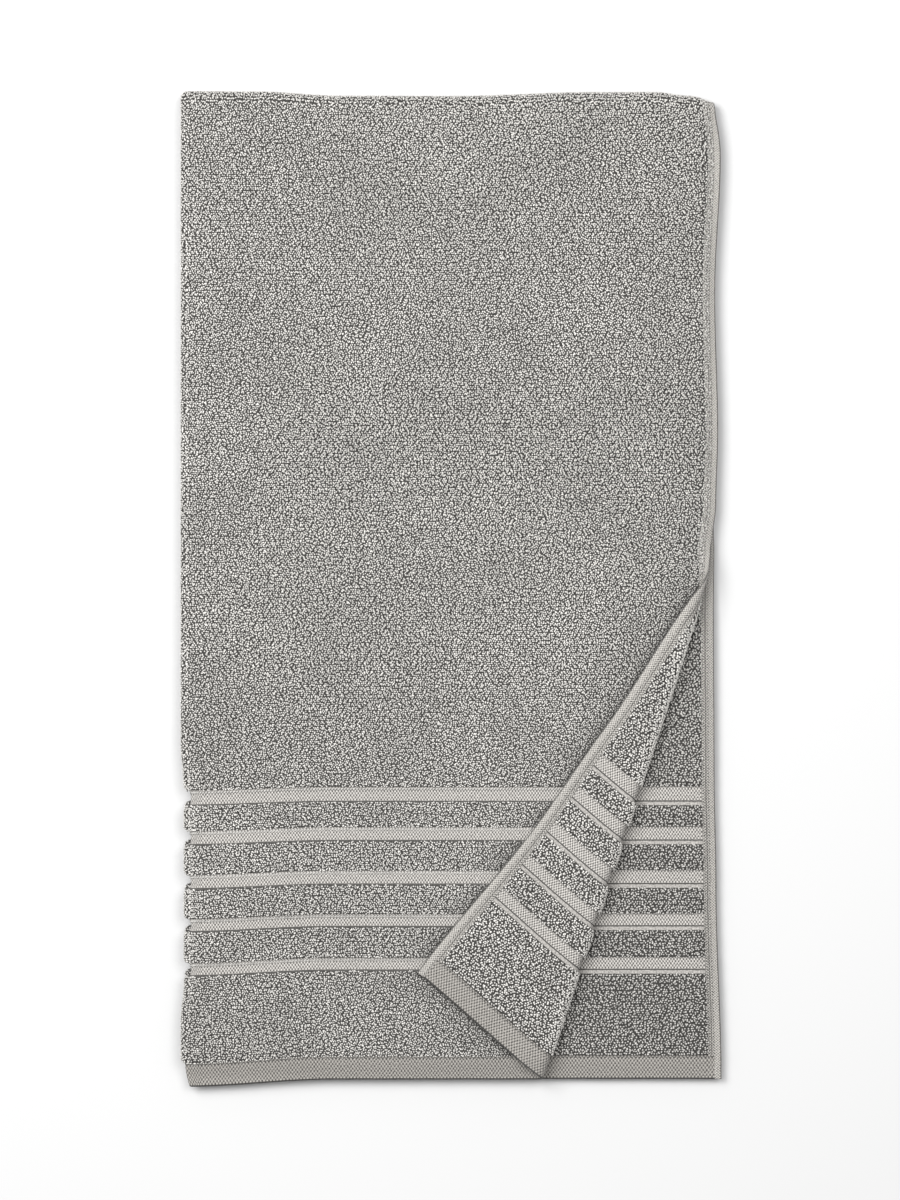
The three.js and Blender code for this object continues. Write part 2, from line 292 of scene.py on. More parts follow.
def cloth_faces(across, down):
    """The cloth's middle, unit vectors out of the side that is up on the top layer, and across it."""
    step = 0.00005
    along_across = place_cloth(across + step, down) - place_cloth(across - step, down)
    along_down = place_cloth(across, down + step) - place_cloth(across, down - step)
    normal = unit(np.cross(along_down, along_across))
    middle = place_cloth(across, down) + ripple(across, down)[..., None] * normal
    middle[..., 0] += fold_notch(across, down)
    return middle, normal, unit(along_across)


# Grid lines beside each step in the cloth's thickness, and where they grow dense for the roll
STEP_LINES = np.array([-0.0010, -0.0003, 0.0003, 0.0010])
DENSE_FROM = 0.236


def spaced(start, end, step):
    return np.linspace(start, end, max(1, round(abs(end - start) / step)) + 1)


def rows_from_end(field, ribs, hem):
    """Distances from the end of the towel, closer where the cloth steps up or down."""
    starts = [END_HEM] + [far for near, far in BANDS]
    ends = [near for near, far in BANDS] + [HALF_LENGTH - CROSS_ARC]
    rows = [np.array([0, 0.0006]), spaced(0.0015, END_HEM - 0.0015, hem), END_HEM + STEP_LINES]
    for near, far in BANDS:
        rows += [near - BACK_STRIP + STEP_LINES[1:3], near + STEP_LINES, far + STEP_LINES]
        rows.append(spaced(near + 0.003, far - 0.003, 0.003))
    for start, end in zip(starts, ends):
        rows.append(spaced(start + 0.0025, end - 0.0045, field if start == starts[-1] else ribs))
    rows.append(np.array([HALF_LENGTH - CROSS_ARC]))
    return HALF_LENGTH - np.unique(np.round(np.concatenate(rows), 6))[::-1]


def lines_from_side(flat_step, turned_step, hem):
    """Distances from the middle of the towel to its side, closer where the corner turns."""
    edge = HALF_WIDTH - SIDE_HEM
    parts = [
        spaced(SIDE_ARC, DENSE_FROM, flat_step),
        spaced(DENSE_FROM, edge - 0.002, turned_step),
        edge + STEP_LINES,
        spaced(edge + 0.002, HALF_WIDTH - 0.0012, hem),
        np.array([HALF_WIDTH - 0.0005, HALF_WIDTH]),
    ]
    return np.unique(np.round(np.concatenate(parts), 6))


fold_rows = spaced(-CROSS_ARC, CROSS_ARC, CROSS_ARC / 8)[1:-1]
fold_lines = spaced(-SIDE_ARC, SIDE_ARC, SIDE_ARC / 6)[1:-1]
lower_rows = rows_from_end(field=0.030, ribs=0.009, hem=0.006)
upper_rows = rows_from_end(field=0.006, ribs=0.0045, hem=0.0028)
inner_lines = lines_from_side(flat_step=0.024, turned_step=0.012, hem=0.004)
outer_lines = lines_from_side(flat_step=0.010, turned_step=0.002, hem=0.002)
rows = np.concatenate([-lower_rows[::-1], fold_rows, upper_rows])
lines = np.concatenate([-inner_lines[::-1], fold_lines, outer_lines])
across_grid, down_grid = np.meshgrid(lines, rows)

# Both faces of the cloth, then its four cut edges
middle, normal, _ = cloth_faces(across_grid, down_grid)
front = middle + normal * half_thickness(across_grid, down_grid, 1)[..., None]
back = middle - normal * half_thickness(across_grid, down_grid, -1)[..., None]
points = np.concatenate([front.reshape(-1, 3), back.reshape(-1, 3)])
count, width = rows.size * lines.size, lines.size
row, line = np.meshgrid(np.arange(rows.size - 1), np.arange(width - 1), indexing="ij")
a = (row * width + line).ravel()
b, c, d = a + 1, a + width + 1, a + width
left = np.arange(rows.size - 1) * width
right = left + width - 1
head = np.arange(width - 1)
foot = head + (rows.size - 1) * width
quads = np.concatenate(
    [
        np.stack([d, c, b, a], axis=1),
        np.stack([b, c, d, a], axis=1) + count,
        np.stack([left + width, left, left + count, left + width + count], axis=1),
        np.stack([right, right + width, right + width + count, right + count], axis=1),
        np.stack([head, head + 1, head + 1 + count, head + count], axis=1),
        np.stack([foot + 1, foot, foot + count, foot + 1 + count], axis=1),
    ]
)
cloth_mesh = bpy.data.meshes.new("towel_cloth")
cloth_mesh.from_pydata(points.tolist(), [], quads.tolist())
cloth_mesh.polygons.foreach_set("use_smooth", np.ones(len(quads), bool))

# Material by zone, and a map in metres: along the band or hem, and from its outer edge
CORNER_STRIP = 0.0055
ZONE_MARGIN = 0.0004
across_at, down_at = across_grid.ravel()[quads % count], down_grid.ravel()[quads % count]
side_at, end_at = HALF_WIDTH - np.abs(across_at), HALF_LENGTH - np.abs(down_at)
corner_strip = side_at.mean(axis=1) < CORNER_STRIP
end_hem = ((end_at.mean(axis=1) < END_HEM) & ~corner_strip)[:, None]
side_hem = (side_at.mean(axis=1) < SIDE_HEM)[:, None] & ~end_hem
along_at = np.where(side_hem, down_at, across_at)
from_edge = np.where(side_hem, side_at, end_at)
zone = np.where(end_hem, 2, np.where(side_hem, 3, 0))
strip = np.where(quads[:, :1] < count, 0, BACK_STRIP)
for near, far in BANDS:
    middle_at = end_at.mean(axis=1, keepdims=True)
    band = (middle_at > near - strip - ZONE_MARGIN) & (middle_at < far + ZONE_MARGIN) & ~side_hem
    from_edge = np.where(band, end_at - near, from_edge)
    zone = np.where(band, 1, zone)
cloth_mesh.polygons.foreach_set("material_index", zone[:, 0].astype(np.int32))
weave_map = cloth_mesh.uv_layers.new(name="weave")
flat_map = np.stack([along_at, from_edge], axis=-1).astype(np.float32)
weave_map.uv.foreach_set("vector", flat_map.ravel())


def add_node(tree, kind, inputs=None, **settings):
    """A node with its properties set, and its inputs set, or linked where a socket is given."""
    node = tree.nodes.new(kind)
    for name, value in settings.items():
        setattr(node, name, value)
    for key, value in (inputs or {}).items():
        if isinstance(key, str):
            entry = next(s for s in node.inputs if s.name == key and s.enabled)
        else:
            entry = node.inputs[key]
        if isinstance(value, bpy.types.NodeSocket):
            tree.links.new(value, entry)
        else:
            entry.default_value = value
    return node


def maths(tree, operation, first, second=0.0, third=0.0):
    given = {0: first, 1: second, 2: third}
    return add_node(tree, "ShaderNodeMath", given, operation=operation).outputs[0]


def cotton(name, sheen=0.1):
    """A matt cotton shader. Its colour and relief are linked by the caller."""
    material = bpy.data.materials.new(name)
    material.use_nodes = True
    tree = material.node_tree
    tree.nodes.clear()
    given = {
        "Roughness": 0.95,
        "Sheen Weight": sheen,
        "Sheen Roughness": 0.6,
        "Specular IOR Level": 0.2,
    }
    shader = add_node(tree, "ShaderNodeBsdfPrincipled", given)
    add_node(tree, "ShaderNodeOutputMaterial", {"Surface": shader.outputs["BSDF"]})
    return material, tree, shader


def tinted(tree, colour, strength):
    """A colour made lighter or darker by a factor."""
    given = {0: colour, "Scale": strength}
    return add_node(tree, "ShaderNodeVectorMath", given, operation="SCALE").outputs[0]


def cloudiness(tree, low, high):
    """Broad soft light and dark patches, where the pile has been stroked one way or the other."""
    place = add_node(tree, "ShaderNodeTexCoord").outputs["Object"]
    noise = add_node(tree, "ShaderNodeTexNoise", {"Vector": place, "Scale": 16.0, "Detail": 3.0})
    spread = {
        "Value": noise.outputs[0],
        "From Min": 0.3,
        "From Max": 0.7,
        "To Min": low,
        "To Max": high,
    }
    return add_node(tree, "ShaderNodeMapRange", spread).outputs[0]


def line_at(tree, place, at, width):
    """1 on a fine line at that distance from the edge, fading to 0 at its sides."""
    off = maths(tree, "DIVIDE", maths(tree, "SUBTRACT", place, at), width)
    return maths(tree, "MAXIMUM", maths(tree, "SUBTRACT", 1.0, maths(tree, "MULTIPLY", off, off)), 0.0)


# Painted shade: the first colour, for the pile ground, is near black for the shade under the loops.
GROUND_SHADE_COLOUR = (0.050, 0.048, 0.045)
BAND_COLOUR = (0.318, 0.305, 0.287)
END_HEM_COLOUR = (0.243, 0.231, 0.214)
SIDE_HEM_COLOUR = (0.338, 0.325, 0.303)

# Rows of stitches, by their distance from the hem's outer edge, and the holes that they leave
SIDE_ROWS = [0.0050, 0.0084]
END_ROW = 0.0160
HOLE_PITCH = 0.0020
HOLE_WIDTH = 0.0005


def pile_ground_painted_shade():
    """The woven ground under the loops, painted dark for the shade that the loops cast on it."""
    material, tree, shader = cotton("pile_ground_painted_shade", sheen=0.0)
    place = add_node(tree, "ShaderNodeTexCoord").outputs["Object"]
    grain = {"Vector": place, "Scale": 650.0, "Detail": 2.0}
    loops = add_node(tree, "ShaderNodeTexNoise", grain).outputs[0]
    shade = maths(tree, "MULTIPLY_ADD", loops, 2.2, -0.1)
    tree.links.new(tinted(tree, GROUND_SHADE_COLOUR, shade), shader.inputs["Base Color"])
    bump = add_node(tree, "ShaderNodeBump", {"Height": loops, "Distance": 0.0008})
    tree.links.new(bump.outputs["Normal"], shader.inputs["Normal"])
    return material


def flat_weave(name, colour, pitch, row, contrast, depth, grooves, dotted=(), plain_below=-1.0):
    """Flat cotton weave: small raised dots in rows set off by half, grooves and stitch holes.

    A groove is given by its distance from the edge, its half width and its depth. The relief sets the colour
    as well as the bump: the weave's own pattern of dots, with painted shade in the hollows between them, in
    the grooves and in the stitch holes.
    """
    material, tree, shader = cotton(name)
    flat = add_node(tree, "ShaderNodeUVMap", uv_map="weave").outputs["UV"]
    parts = add_node(tree, "ShaderNodeSeparateXYZ", {0: flat})
    along, from_edge = parts.outputs["X"], parts.outputs["Y"]
    dots = maths(tree, "COSINE", maths(tree, "MULTIPLY", along, 2 * math.pi / pitch))
    by_row = maths(tree, "COSINE", maths(tree, "MULTIPLY", from_edge, math.pi / row))
    dots = maths(tree, "MULTIPLY", dots, by_row)
    plain = maths(tree, "LESS_THAN", from_edge, plain_below)
    dots = maths(tree, "MULTIPLY", dots, maths(tree, "SUBTRACT", 1.0, plain))
    grain = {"Vector": flat, "Scale": 900.0, "Detail": 2.0}
    yarn = add_node(tree, "ShaderNodeTexNoise", grain).outputs[0]
    raised = maths(tree, "MULTIPLY", dots, 0.5)
    relief = maths(tree, "ADD", raised, maths(tree, "MULTIPLY_ADD", yarn, 1.2, -0.6))
    for at, width, deep in grooves:
        relief = maths(tree, "MULTIPLY_ADD", line_at(tree, from_edge, at, width), -deep, relief)
    for at in dotted:
        hole = maths(tree, "SINE", maths(tree, "MULTIPLY", along, 2 * math.pi / HOLE_PITCH))
        hole = maths(tree, "GREATER_THAN", hole, 0.0)
        hole = maths(tree, "MULTIPLY", hole, line_at(tree, from_edge, at, HOLE_WIDTH))
        relief = maths(tree, "MULTIPLY_ADD", hole, -1.2, relief)
    # Painted shade: the colour darkens with the relief, in the hollows between the dots, in the grooves and
    # in the stitch holes.
    shade = maths(tree, "MULTIPLY_ADD", relief, contrast, 1.0)
    shade = maths(tree, "MAXIMUM", maths(tree, "MULTIPLY_ADD", plain, 0.05, shade), 0.2)
    shade = maths(tree, "MULTIPLY", shade, cloudiness(tree, 0.97, 1.03))
    tree.links.new(tinted(tree, colour, shade), shader.inputs["Base Color"])
    bump = add_node(tree, "ShaderNodeBump", {"Height": relief, "Distance": depth})
    tree.links.new(bump.outputs["Normal"], shader.inputs["Normal"])
    return material


cloth_mesh.materials.append(pile_ground_painted_shade())
cloth_mesh.materials.append(
    flat_weave(
        "band_weave",
        BAND_COLOUR,
        pitch=0.0022,
        row=0.0015,
        contrast=2.0,
        depth=0.0003,
        grooves=[(0.0002, 0.0005, 1.0)],
        plain_below=0.0002,
    )
)
cloth_mesh.materials.append(
    flat_weave(
        "end_hem_weave",
        END_HEM_COLOUR,
        pitch=0.0024,
        row=0.0017,
        contrast=1.7,
        depth=0.0004,
        grooves=[(END_ROW, 0.0005, 0.5), (0.0002, 0.0010, 0.9)],
    )
)
cloth_mesh.materials.append(
    flat_weave(
        "side_hem_weave",
        SIDE_HEM_COLOUR,
        pitch=0.0019,
        row=0.0011,
        contrast=1.5,
        depth=0.0003,
        grooves=[(0.0099, 0.0006, 1.2), (0.0067, 0.0007, 0.5), (0.0002, 0.0006, 0.6)],
        dotted=SIDE_ROWS,
    )
)
cloth = bpy.data.objects.new("towel_cloth_woven", cloth_mesh)
bpy.context.scene.collection.objects.link(cloth)
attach(cloth, "root")
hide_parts("towel_cloth")


# The pile
# Uncut loops of soft cotton yarn, woven into both faces of the ground in rows and ruffled by
# washing. Each loop is a short bent strand that stands a little over a millimetre high, longer
# on the back. The faces that show are covered with them, and the underside has plainer ones.

LOOP_PITCH = (0.00164, 0.00142)
LOOP_SIZE = (0.0023, 0.00125, 0.0013)
LOOP_SINK = 0.0002
LOOP_LEAN = 0.20
LOOP_SCATTER = 0.36
LOOP_UNEVENNESS = 0.25
LOOP_COLOUR = (0.850, 0.830, 0.792)
TONE_SPREAD = 0.13
BACK_LOOP_PITCH = (0.0019, 0.00165)
BACK_LOOP_SIZE = (0.0026, 0.00135, 0.0016)
UNDERSIDE_PITCH = (0.0052, 0.0052)
UNDERSIDE_LOOP_SIZE = (0.0058, 0.0034, 0.0009)
UNDERSIDE_SINK = 0.0004
UNDERSIDE_LEAN = 0.05

# Where the pile stops: its distance from the side and the end of the towel, and from a flat band
FACE_PILE_FROM_SIDE = 0.0055
BACK_PILE_FROM_SIDE = SIDE_HEM - 0.0008
PILE_FROM_END = END_HEM - 0.0003
BARE_BELOW_BAND = 0.0002
BARE_ABOVE_BAND = 0.0003

# The strip of loops round the roll, and the pile that is left out where the corner hides it
TURN_LAP = 0.001
ROLL_STRIP = 0.017
SEEN_BEFORE_TURN = 0.012
COVERED_MARGIN = 0.016

# Painted shade on the pile beside the turned corner's edges and over the whole second layer, and painted
# light on the pile along the roll
EDGE_SHADE, EDGE_SHADE_REACH = 0.40, 0.0022
SOFT_SHADE, SOFT_SHADE_REACH = 0.22, 0.014
ROLL_LIGHT, ROLL_LIGHT_AT, ROLL_LIGHT_SPREAD = 0.2, 0.006, 0.006
SECOND_LAYER_SHADE = 0.80


def loop_tree():
    """Geometry nodes that lay one bent strand of yarn on each point of the ground."""
    tree = bpy.data.node_groups.new("lay_strands", "GeometryNodeTree")
    face = tree.interface
    face.new_socket("Points", in_out="INPUT", socket_type="NodeSocketGeometry")
    face.new_socket("Strand Size", in_out="INPUT", socket_type="NodeSocketVector")
    face.new_socket("Bend", in_out="INPUT", socket_type="NodeSocketFloat")
    face.new_socket("Unevenness", in_out="INPUT", socket_type="NodeSocketFloat")
    face.new_socket("Rings", in_out="INPUT", socket_type="NodeSocketInt")
    face.new_socket("Seed", in_out="INPUT", socket_type="NodeSocketInt")
    face.new_socket("Material", in_out="INPUT", socket_type="NodeSocketMaterial")
    face.new_socket("Strands", in_out="OUTPUT", socket_type="NodeSocketGeometry")
    given = add_node(tree, "NodeGroupInput").outputs
    size = add_node(tree, "ShaderNodeSeparateXYZ", {0: given["Strand Size"]}).outputs
    upright = add_node(tree, "ShaderNodeCombineXYZ", {0: size["Z"], 1: size["Y"], 2: size["X"]})
    shape = {"Segments": 3, "Rings": given["Rings"], "Radius": 0.5}
    yarn = add_node(tree, "GeometryNodeMeshUVSphere", shape)
    strand = add_node(
        tree,
        "GeometryNodeTransform",
        {"Geometry": yarn.outputs[0], "Rotation": (0, math.pi / 2, 0), "Scale": upright.outputs[0]},
    )
    place = add_node(tree, "GeometryNodeInputPosition").outputs[0]
    spot = add_node(tree, "ShaderNodeSeparateXYZ", {0: place})
    part = maths(tree, "DIVIDE", maths(tree, "MULTIPLY", spot.outputs["X"], 2.0), size["X"])
    part = maths(tree, "MULTIPLY", part, part)
    aside = maths(tree, "MULTIPLY", part, given["Bend"])
    low = maths(tree, "MULTIPLY", maths(tree, "MULTIPLY", part, size["Z"]), -0.35)
    move = add_node(tree, "ShaderNodeCombineXYZ", {1: aside, 2: low})
    moved = {"Geometry": strand.outputs[0], "Offset": move.outputs[0]}
    bent = add_node(tree, "GeometryNodeSetPosition", moved)
    rise = maths(tree, "ADD", maths(tree, "DIVIDE", spot.outputs["Z"], size["Z"]), 0.5)
    marked = add_node(
        tree, "GeometryNodeStoreNamedAttribute", {"Geometry": bent.outputs[0], "Name": "rise", "Value": rise}
    )
    smooth = add_node(tree, "GeometryNodeSetShadeSmooth", {"Geometry": marked.outputs[0]})
    stored = "GeometryNodeInputNamedAttribute"
    facing = add_node(tree, stored, {"Name": "facing"}, data_type="FLOAT_VECTOR")
    along = add_node(tree, stored, {"Name": "along"}, data_type="FLOAT_VECTOR")
    laid = add_node(
        tree,
        "FunctionNodeAxesToRotation",
        {0: facing.outputs["Attribute"], 1: along.outputs["Attribute"]},
        primary_axis="Z",
        secondary_axis="X",
    )
    least = maths(tree, "SUBTRACT", 1.0, given["Unevenness"])
    most = maths(tree, "ADD", 1.0, given["Unevenness"])
    stretch = add_node(
        tree,
        "FunctionNodeRandomValue",
        {"Min": least, "Max": most, "Seed": given["Seed"]},
        data_type="FLOAT_VECTOR",
    )
    stood = add_node(
        tree,
        "GeometryNodeInstanceOnPoints",
        {
            "Points": given["Points"],
            "Instance": smooth.outputs[0],
            "Rotation": laid.outputs[0],
            "Scale": stretch.outputs[0],
        },
    )
    real = add_node(tree, "GeometryNodeRealizeInstances", {"Geometry": stood.outputs[0]})
    dyed = add_node(
        tree, "GeometryNodeSetMaterial", {"Geometry": real.outputs[0], "Material": given["Material"]}
    )
    add_node(tree, "NodeGroupOutput", {"Strands": dyed.outputs[0]})
    return tree


def lay_strands(name, places, facing, along, tone, choices):
    """A piece of joined strands, one on each of the given points, none of them below the floor."""
    mesh = bpy.data.meshes.new(name)
    mesh.vertices.add(len(places))
    mesh.vertices.foreach_set("co", places.astype(np.float32).ravel())
    for label, values in {"facing": facing, "along": along}.items():
        entry = mesh.attributes.new(label, "FLOAT_VECTOR", "POINT")
        entry.data.foreach_set("vector", values.astype(np.float32).ravel())
    mesh.attributes.new("tone", "FLOAT", "POINT").data.foreach_set("value", tone.astype(np.float32))
    piece = bpy.data.objects.new(name, mesh)
    bpy.context.scene.collection.objects.link(piece)
    modifier = piece.modifiers.new("Strands", "NODES")
    modifier.node_group = strand_tree
    for entry in strand_tree.interface.items_tree:
        if entry.name in choices:
            modifier[entry.identifier] = choices[entry.name]
    shown = piece.evaluated_get(bpy.context.evaluated_depsgraph_get())
    made = bpy.data.meshes.new_from_object(shown)
    piece.modifiers.clear()
    piece.data = made
    made.name = name
    made_at = np.empty(len(made.vertices) * 3, np.float32)
    made.vertices.foreach_get("co", made_at)
    made_at[2::3] = np.maximum(made_at[2::3], 0.0001)
    made.vertices.foreach_set("co", made_at)
    for label in ["facing", "along"]:
        made.attributes.remove(made.attributes[label])
    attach(piece, "root")
    return piece


def loop_yarn(name, lightness):
    """Soft yarn with painted shade at the foot of each loop, and a tone per loop that differs a little at
    random and carries the painted shade and light that a piece adds.
    """
    material, tree, shader = cotton(name, sheen=0.0)
    rise = add_node(tree, "ShaderNodeAttribute", attribute_name="rise").outputs["Fac"]
    tone = add_node(tree, "ShaderNodeAttribute", attribute_name="tone").outputs["Fac"]
    # Painted shade: each loop darkens from its top down to its foot, where the loops shade one another.
    shade = maths(tree, "MULTIPLY", maths(tree, "MULTIPLY_ADD", rise, 1.00, 0.12), tone)
    shade = maths(tree, "MULTIPLY", shade, cloudiness(tree, 0.93 * lightness, 1.07 * lightness))
    tree.links.new(tinted(tree, LOOP_COLOUR, shade), shader.inputs["Base Color"])
    return material


def scattered(across_span, down_span, pitch, face, rng):
    """Places of the loops on the flat towel, in woven rows and each a little off its spot."""
    columns = np.arange(math.ceil(min(across_span) / pitch[0]), math.ceil(max(across_span) / pitch[0]))
    rows = np.arange(math.ceil(min(down_span) / pitch[1]), math.ceil(max(down_span) / pitch[1]))
    across, down = np.meshgrid(columns * pitch[0], rows * pitch[1])
    across = across + (rows % 2)[:, None] * pitch[0] / 2
    across = (across + rng.uniform(-LOOP_SCATTER, LOOP_SCATTER, across.shape) * pitch[0]).ravel()
    down = (down + rng.uniform(-LOOP_SCATTER, LOOP_SCATTER, down.shape) * pitch[1]).ravel()
    from_side, from_end = HALF_WIDTH - np.abs(across), HALF_LENGTH - np.abs(down)
    strip, bare = (0, FACE_PILE_FROM_SIDE) if face > 0 else (BACK_STRIP, BACK_PILE_FROM_SIDE)
    flat = in_bands(from_end, strip + BARE_BELOW_BAND, BARE_ABOVE_BAND)
    piled = (from_side > bare) & (from_end > PILE_FROM_END) & ~flat
    return across[piled], down[piled]


def flat_place(across, down):
    """Distances right of the side fold and below the cross fold, before the corner is turned."""
    u, offset = fold_along(across)
    v, level = fold_across(down, offset)
    return stray_edges(u, v, across, down)


def under_corner(u, v):
    """True where the turned corner covers the top layer well inside its own edges."""
    before = -beyond_turn(u, v)
    reach = 2 * before + math.pi * ROLL_RADIUS
    cover_u, cover_v = u + reach * math.cos(TURN_ANGLE), v + reach * math.sin(TURN_ANGLE)
    inside = (cover_u < FOLDED_WIDTH - COVERED_MARGIN) & (cover_v < FOLDED_LENGTH - COVERED_MARGIN)
    return inside & (before > -2 * TURN_LAP)


def on_top(across, down):
    u, v = flat_place(across, down)
    return (beyond_turn(u, v) < TURN_LAP) & ~under_corner(u, v)


def turned_over(across, down):
    return beyond_turn(*flat_place(across, down)) > -TURN_LAP


def on_roll(across, down):
    past = beyond_turn(*flat_place(across, down))
    return (past > -TURN_LAP) & (past < ROLL_STRIP)


def beside_turn(across, down):
    return beyond_turn(*flat_place(across, down)) > -SEEN_BEFORE_TURN


def everywhere(across, down):
    return across == across


def leaning(across, down, face, angle, lean, rng):
    """Places on one side of the cloth, ways out of it, and ways along it at an angle from across."""
    middle, normal, sideways = cloth_faces(across, down)
    outward = normal * face
    endways = np.cross(outward, sideways)
    slant = rng.normal(0, lean, (2, across.size, 1)) if lean else np.zeros((2, 1, 1))
    along = sideways * np.cos(angle)[:, None] + endways * np.sin(angle)[:, None]
    facing = unit(outward + slant[0] * sideways + slant[1] * endways)
    return middle + outward * half_thickness(across, down, face)[:, None], outward, facing, along


def painted_corner_shade(places):
    """Painted shade on the pile beside the turned corner's edge: 1 well away from it, less beside it."""
    down_edge = np.linspace(TURN_START + CROSS_ARC + 0.020, HALF_LENGTH, 60)
    across_end = np.linspace(HALF_WIDTH, HALF_WIDTH - 0.150, 30)
    side = place_cloth(np.full(60, HALF_WIDTH), down_edge)
    end = place_cloth(across_end, np.full(30, HALF_LENGTH))
    outline = np.concatenate([side, end[1:]])[:, :2]
    nearest = np.full(len(places), 1.0)
    for start, stop in zip(outline[:-1], outline[1:]):
        run = stop - start
        part = ((places[:, :2] - start) @ run / (run @ run)).clip(0, 1)
        nearest = np.minimum(nearest, np.linalg.norm(places[:, :2] - start - part[:, None] * run, axis=1))
    beside = EDGE_SHADE * np.exp(-nearest / EDGE_SHADE_REACH)
    return 1 - beside - SOFT_SHADE * np.exp(-nearest / SOFT_SHADE_REACH)


def painted_roll_light(across, down):
    """Painted light on the pile where the corner rolls over and the pile of the layer below meets it,
    against the shade that gathers there.
    """
    off = (beyond_turn(*flat_place(across, down)) - ROLL_LIGHT_AT) / ROLL_LIGHT_SPREAD
    return 1 + ROLL_LIGHT * np.exp(-(off**2))


def stroked(across, down):
    """The way the pile lies, which sweeps this way and that over the cloth."""
    first = 1.2 * np.sin(across * 23 + 1.7 * np.sin(down * 11))
    return first + np.sin(down * 17 + 2 * np.sin(across * 13))


def pile_piece(name, span, keep, seed, loops, sink=LOOP_SINK, lean=LOOP_LEAN, light=1.0):
    """One stretch of pile, with loops on the part of that span of the flat towel that shows."""
    face, pitch, size = loops
    rng = np.random.default_rng(seed)
    across, down = scattered(*span, pitch, face, rng)
    kept = keep(across, down)
    across, down = across[kept], down[kept]
    angle = stroked(across, down) + rng.normal(0, 0.9, across.size)
    places, outward, facing, along = leaning(across, down, face, angle, lean, rng)
    tone = rng.normal(1.0, TONE_SPREAD, across.size).clip(0.6, 1.35)
    # Painted shade on the loops beside the turned corner's edge, multiplied into their tone.
    if keep is on_top:
        tone = tone * painted_corner_shade(places)
    # Painted light on the loops along the roll, multiplied into their tone.
    if keep in (turned_over, on_roll, beside_turn):
        tone = tone * painted_roll_light(across, down)
    choices = {
        "Strand Size": size,
        "Bend": 0.0,
        "Unevenness": LOOP_UNEVENNESS,
        "Rings": 2,
        "Seed": seed,
        "Material": loop_yarn(name + "_yarn", light),
    }
    return lay_strands(name, places + outward * (size[2] / 2 - sink), facing, along, tone, choices)


# Spans of the flat towel, from its middle: across it, then down from its middle to its upper end
FOLD_STRIP = 0.008
UNDERSIDE_FROM = 0.006
BEND_LAP = 0.0003
far_side, far_end = HALF_WIDTH - 0.005, HALF_LENGTH - END_HEM
top_across, lower_down = (-FOLD_STRIP, far_side), (-far_end, -CROSS_ARC)
turned_span = ((0.22, far_side), (0.30, far_end))
second_span = ((-far_side, -0.20), (0.29, far_end))
side_bend_span = ((-SIDE_ARC, SIDE_ARC + BEND_LAP), (-CROSS_ARC, far_end))
cross_bend_span = (top_across, (-CROSS_ARC, CROSS_ARC + BEND_LAP))
lower_fold_span = ((-FOLD_STRIP, UNDERSIDE_FROM), lower_down)
underside_span = ((UNDERSIDE_FROM, far_side), lower_down)

face_loops = (1, LOOP_PITCH, LOOP_SIZE)
back_loops = (-1, BACK_LOOP_PITCH, BACK_LOOP_SIZE)
underside_loops = (1, UNDERSIDE_PITCH, UNDERSIDE_LOOP_SIZE)
strand_tree = loop_tree()

# The top layer in four stretches, then a closer set round each bend, then the layers below
top_rows = [-CROSS_ARC, 0.165, 0.335, 0.490, far_end]
top_names = ["pile_near_fold", "pile_upper_field", "pile_lower_field", "pile_banded_end"]
pile = []
for name, seed, start, stop in zip(top_names, [11, 12, 20, 13], top_rows[:-1], top_rows[1:]):
    pile.append(pile_piece(name, (top_across, (start, stop)), on_top, seed, face_loops))
pile += [
    pile_piece("pile_cross_bend", cross_bend_span, everywhere, 21, face_loops),
    pile_piece("pile_side_bend", side_bend_span, everywhere, 22, face_loops),
    pile_piece("pile_corner_roll", turned_span, on_roll, 23, back_loops),
    pile_piece("pile_turned_corner", turned_span, turned_over, 14, back_loops),
    pile_piece("pile_second_layer", second_span, beside_turn, 15, back_loops, light=SECOND_LAYER_SHADE),
    pile_piece("pile_lower_fold", lower_fold_span, everywhere, 16, face_loops),
    pile_piece(
        "pile_underside",
        underside_span,
        everywhere,
        17,
        underside_loops,
        sink=UNDERSIDE_SINK,
        lean=UNDERSIDE_LEAN,
    ),
]


# The cords beside the bands
# Where the pile meets a flat band on the face, its last row of loops lies over slantwise, so that
# it looks like a fine twisted cord. It is the same cotton yarn, woven in with the pile.

CORD_LOOP_PITCH = 0.0022
CORD_LOOP_SIZE = (0.0034, 0.0012, 0.0011)
CORD_INSIDE_BAND = 0.0014
CORD_PAST_FOLD = 0.004
CORD_SLANT = 0.72
CORD_LIFT = 0.0004
CORD_LIGHTNESS = 0.75

cord_across = np.arange(-CORD_PAST_FOLD, HALF_WIDTH - SIDE_HEM, CORD_LOOP_PITCH)
cord_down = [HALF_LENGTH - far + CORD_INSIDE_BAND for near, far in BANDS]
cord_across, cord_down = (grid.ravel() for grid in np.meshgrid(cord_across, cord_down))
shown = on_top(cord_across, cord_down)
cord_across, cord_down = cord_across[shown], cord_down[shown]
rng = np.random.default_rng(18)
cord_angle = rng.normal(CORD_SLANT, 0.12, cord_across.size)
places, outward, facing, along = leaning(cord_across, cord_down, 1, cord_angle, 0.05, rng)
tone = rng.normal(1.0, 0.08, cord_across.size)
choices = {"Strand Size": CORD_LOOP_SIZE, "Bend": 0.0003, "Unevenness": 0.1, "Rings": 3, "Seed": 18}
choices["Material"] = loop_yarn("cord_loop_yarn", CORD_LIGHTNESS)
pile.append(lay_strands("cord_loops", places + outward * CORD_LIFT, facing, along, tone, choices))


# The hem stitching
# Sewing thread a shade lighter than the cloth, in two rows along each turned side hem and one
# row along each end hem, sewn through all the turns of the cloth.

STITCH_PITCH = 0.0030
STITCH_SIZE = (0.0024, 0.0006, 0.0005)
THREAD_COLOUR = (0.500, 0.482, 0.452)

